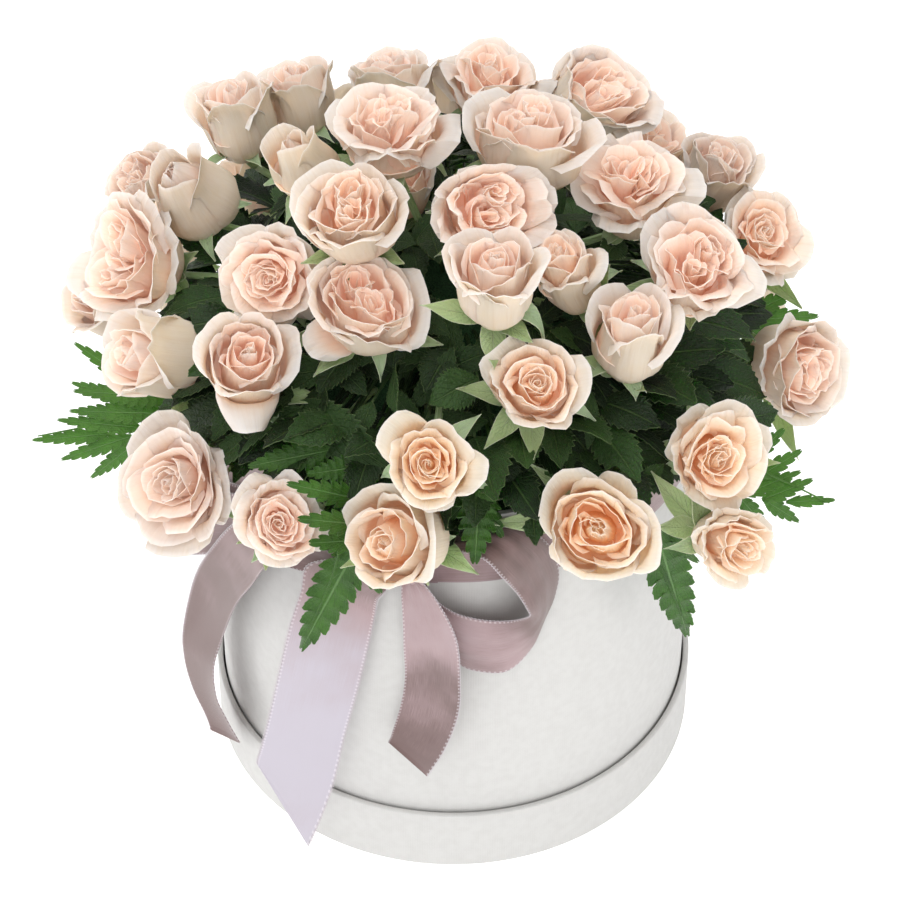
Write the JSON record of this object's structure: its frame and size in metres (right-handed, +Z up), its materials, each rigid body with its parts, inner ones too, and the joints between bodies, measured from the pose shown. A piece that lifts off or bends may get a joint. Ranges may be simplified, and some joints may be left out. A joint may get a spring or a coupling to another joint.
{
  "type": "flower hat box",
  "caption": "Round hat box standing in its own lid, tied with a satin ribbon bow and filled with a dome of spray roses, leaves and fern.",
  "frame": {"origin": "centre of the flat underside of the upturned lid, on the surface that the box stands on", "axes": "+Z up along the box's axis; -Y towards the front, where the bow is; +X to the right of someone facing the bow"},
  "size_m": [0.3486, 0.3342, 0.3443],
  "materials": {
    "board": "off-white linen-embossed paper on grey board",
    "film": "clear film",
    "foam": "soaked green flower foam",
    "dry_foam": "light dry foam packing",
    "ribbon": "mauve satin, lilac in the light",
    "petal": "soft matt petals, peach at the heart and cream at the edge",
    "leaf": "dark green leaf with a faint gloss"
  },
  "bodies": {
    "root": {"box_wall": "board", "box_base": "board", "lid_rim": "board", "lid_top": "board", "film_liner": "film", "foam_lower": "dry_foam", "foam_upper": "foam", "ribbon_band": "ribbon", "bow_knot": "ribbon", "bow_loop_left": "ribbon", "bow_loop_right": "ribbon", "ribbon_tail_left": "ribbon", "ribbon_tail_centre": "ribbon", "ribbon_tail_right": "ribbon", "rose_01": "petal", "rose_02": "petal", "rose_03": "petal", "rose_04": "petal", "rose_05": "petal", "rose_06": "petal", "rose_07": "petal", "rose_08": "petal", "rose_09": "petal", "rose_10": "petal", "rose_11": "petal", "rose_12": "petal", "rose_13": "petal", "rose_14": "petal", "rose_15": "petal", "rose_16": "petal", "rose_17": "petal", "rose_18": "petal", "rose_19": "petal", "rose_20": "petal", "rose_21": "petal", "rose_22": "petal", "rose_23": "petal", "rose_24": "petal", "rose_25": "petal", "rose_26": "petal", "rose_27": "petal", "rose_28": "petal", "rose_29": "petal", "rose_30": "petal", "rose_31": "petal", "rose_32": "petal", "rose_33": "petal", "rose_34": "petal", "rose_35": "petal", "rose_36": "petal", "back_spray_1": "petal", "back_spray_2": "petal", "back_spray_3": "petal", "back_spray_4": "petal", "back_spray_5": "petal", "fern_left": "leaf", "fern_front": "leaf", "fern_low_right": "leaf", "fern_right": "leaf", "fern_back": "leaf"}
  },
  "joints": []
}
